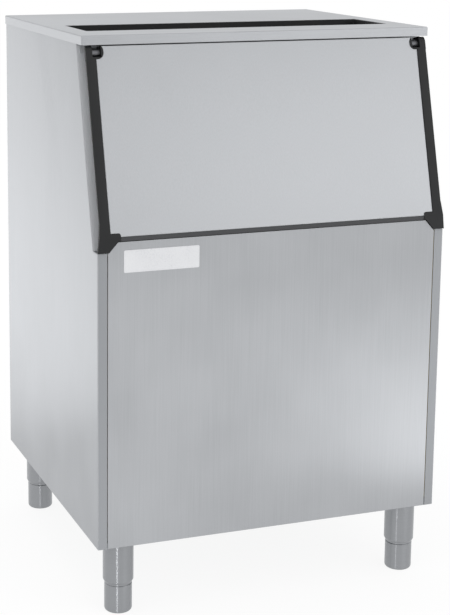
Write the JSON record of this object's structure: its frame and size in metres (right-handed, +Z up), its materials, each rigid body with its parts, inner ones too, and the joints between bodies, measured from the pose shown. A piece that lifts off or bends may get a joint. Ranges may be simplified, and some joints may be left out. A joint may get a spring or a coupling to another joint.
{
  "type": "ice storage bin",
  "caption": "Insulated stainless ice storage bin on levelling legs, with a lift-up sloping door and a lid with an opening that an ice maker drops ice through.",
  "frame": {"origin": "on the floor, under the middle of the whole bin", "axes": "+Z up, +Y to the back, +X to the right seen from the front"},
  "size_m": [0.764, 0.6856, 1.172],
  "materials": {
    "satin_stainless": "satin",
    "brushed_leg_steel": "satin",
    "galvanised_steel": "matte",
    "zinc_plated_steel": "satin",
    "cast_stainless": "satin",
    "foam": "matte",
    "liner_plastic": "satin",
    "white_plastic": "satin",
    "gasket_rubber": "matte",
    "white_plate": "gloss",
    "black_plastic": "satin"
  },
  "bodies": {
    "cabinet": {"back_panel": "satin_stainless", "back_panel_screws": "zinc_plated_steel", "base_panel": "galvanised_steel", "breaker_frame": "liner_plastic", "ceiling_panel": "liner_plastic", "drain_body": "white_plastic", "drain_nut": "white_plastic", "drain_strainer": "white_plastic", "drain_washer": "gasket_rubber", "front_panel": "satin_stainless", "header_rail": "galvanised_steel", "hinge_bracket_left": "cast_stainless", "hinge_bracket_right": "cast_stainless", "hinge_pin_left": "zinc_plated_steel", "hinge_pin_right": "zinc_plated_steel", "hinge_screws": "zinc_plated_steel", "insulation_back": "foam", "insulation_floor": "foam", "insulation_front": "foam", "insulation_left": "foam", "insulation_right": "foam", "label_plate": "white_plate", "leg_bolts": "zinc_plated_steel", "leg_inserts": "zinc_plated_steel", "leg_plates": "galvanised_steel", "leg_tube_back_left": "brushed_leg_steel", "leg_tube_back_right": "brushed_leg_steel", "leg_tube_front_left": "brushed_leg_steel", "leg_tube_front_right": "brushed_leg_steel", "lid_screws": "zinc_plated_steel", "liner": "liner_plastic", "opening_collar": "black_plastic", "side_panel_left": "satin_stainless", "side_panel_right": "satin_stainless", "top_cover": "satin_stainless", "top_cover_insulation": "foam"},
    "door": {"door_bottom_trim": "black_plastic", "door_corner_left": "black_plastic", "door_corner_right": "black_plastic", "door_gasket": "gasket_rubber", "door_insulation": "foam", "door_liner": "liner_plastic", "door_skin": "satin_stainless", "door_trim_left": "black_plastic", "door_trim_right": "black_plastic", "hinge_bush_left": "white_plastic", "hinge_bush_right": "white_plastic", "hinge_cap_left": "black_plastic", "hinge_cap_right": "black_plastic"},
    "foot_front_left": {"levelling_foot_front_left": "brushed_leg_steel", "foot_stud_front_left": "zinc_plated_steel"},
    "foot_front_right": {"levelling_foot_front_right": "brushed_leg_steel", "foot_stud_front_right": "zinc_plated_steel"},
    "foot_back_left": {"levelling_foot_back_left": "brushed_leg_steel", "foot_stud_back_left": "zinc_plated_steel"},
    "foot_back_right": {"levelling_foot_back_right": "brushed_leg_steel", "foot_stud_back_right": "zinc_plated_steel"}
  },
  "joints": [
    {"name": "door_hinge", "type": "hinge", "parent": "cabinet", "child": "door", "pos_m": [0, -0.23157, 1.1355], "axis": [-1, 0, 0], "range_deg": [0, 72]},
    {"name": "foot_front_left_screw", "type": "slide", "parent": "cabinet", "child": "foot_front_left", "axis": [0, 0, -1], "range_m": [0, 0.025]},
    {"name": "foot_front_right_screw", "type": "slide", "parent": "cabinet", "child": "foot_front_right", "axis": [0, 0, -1], "range_m": [0, 0.025]},
    {"name": "foot_back_left_screw", "type": "slide", "parent": "cabinet", "child": "foot_back_left", "axis": [0, 0, -1], "range_m": [0, 0.025]},
    {"name": "foot_back_right_screw", "type": "slide", "parent": "cabinet", "child": "foot_back_right", "axis": [0, 0, -1], "range_m": [0, 0.025]}
  ]
}
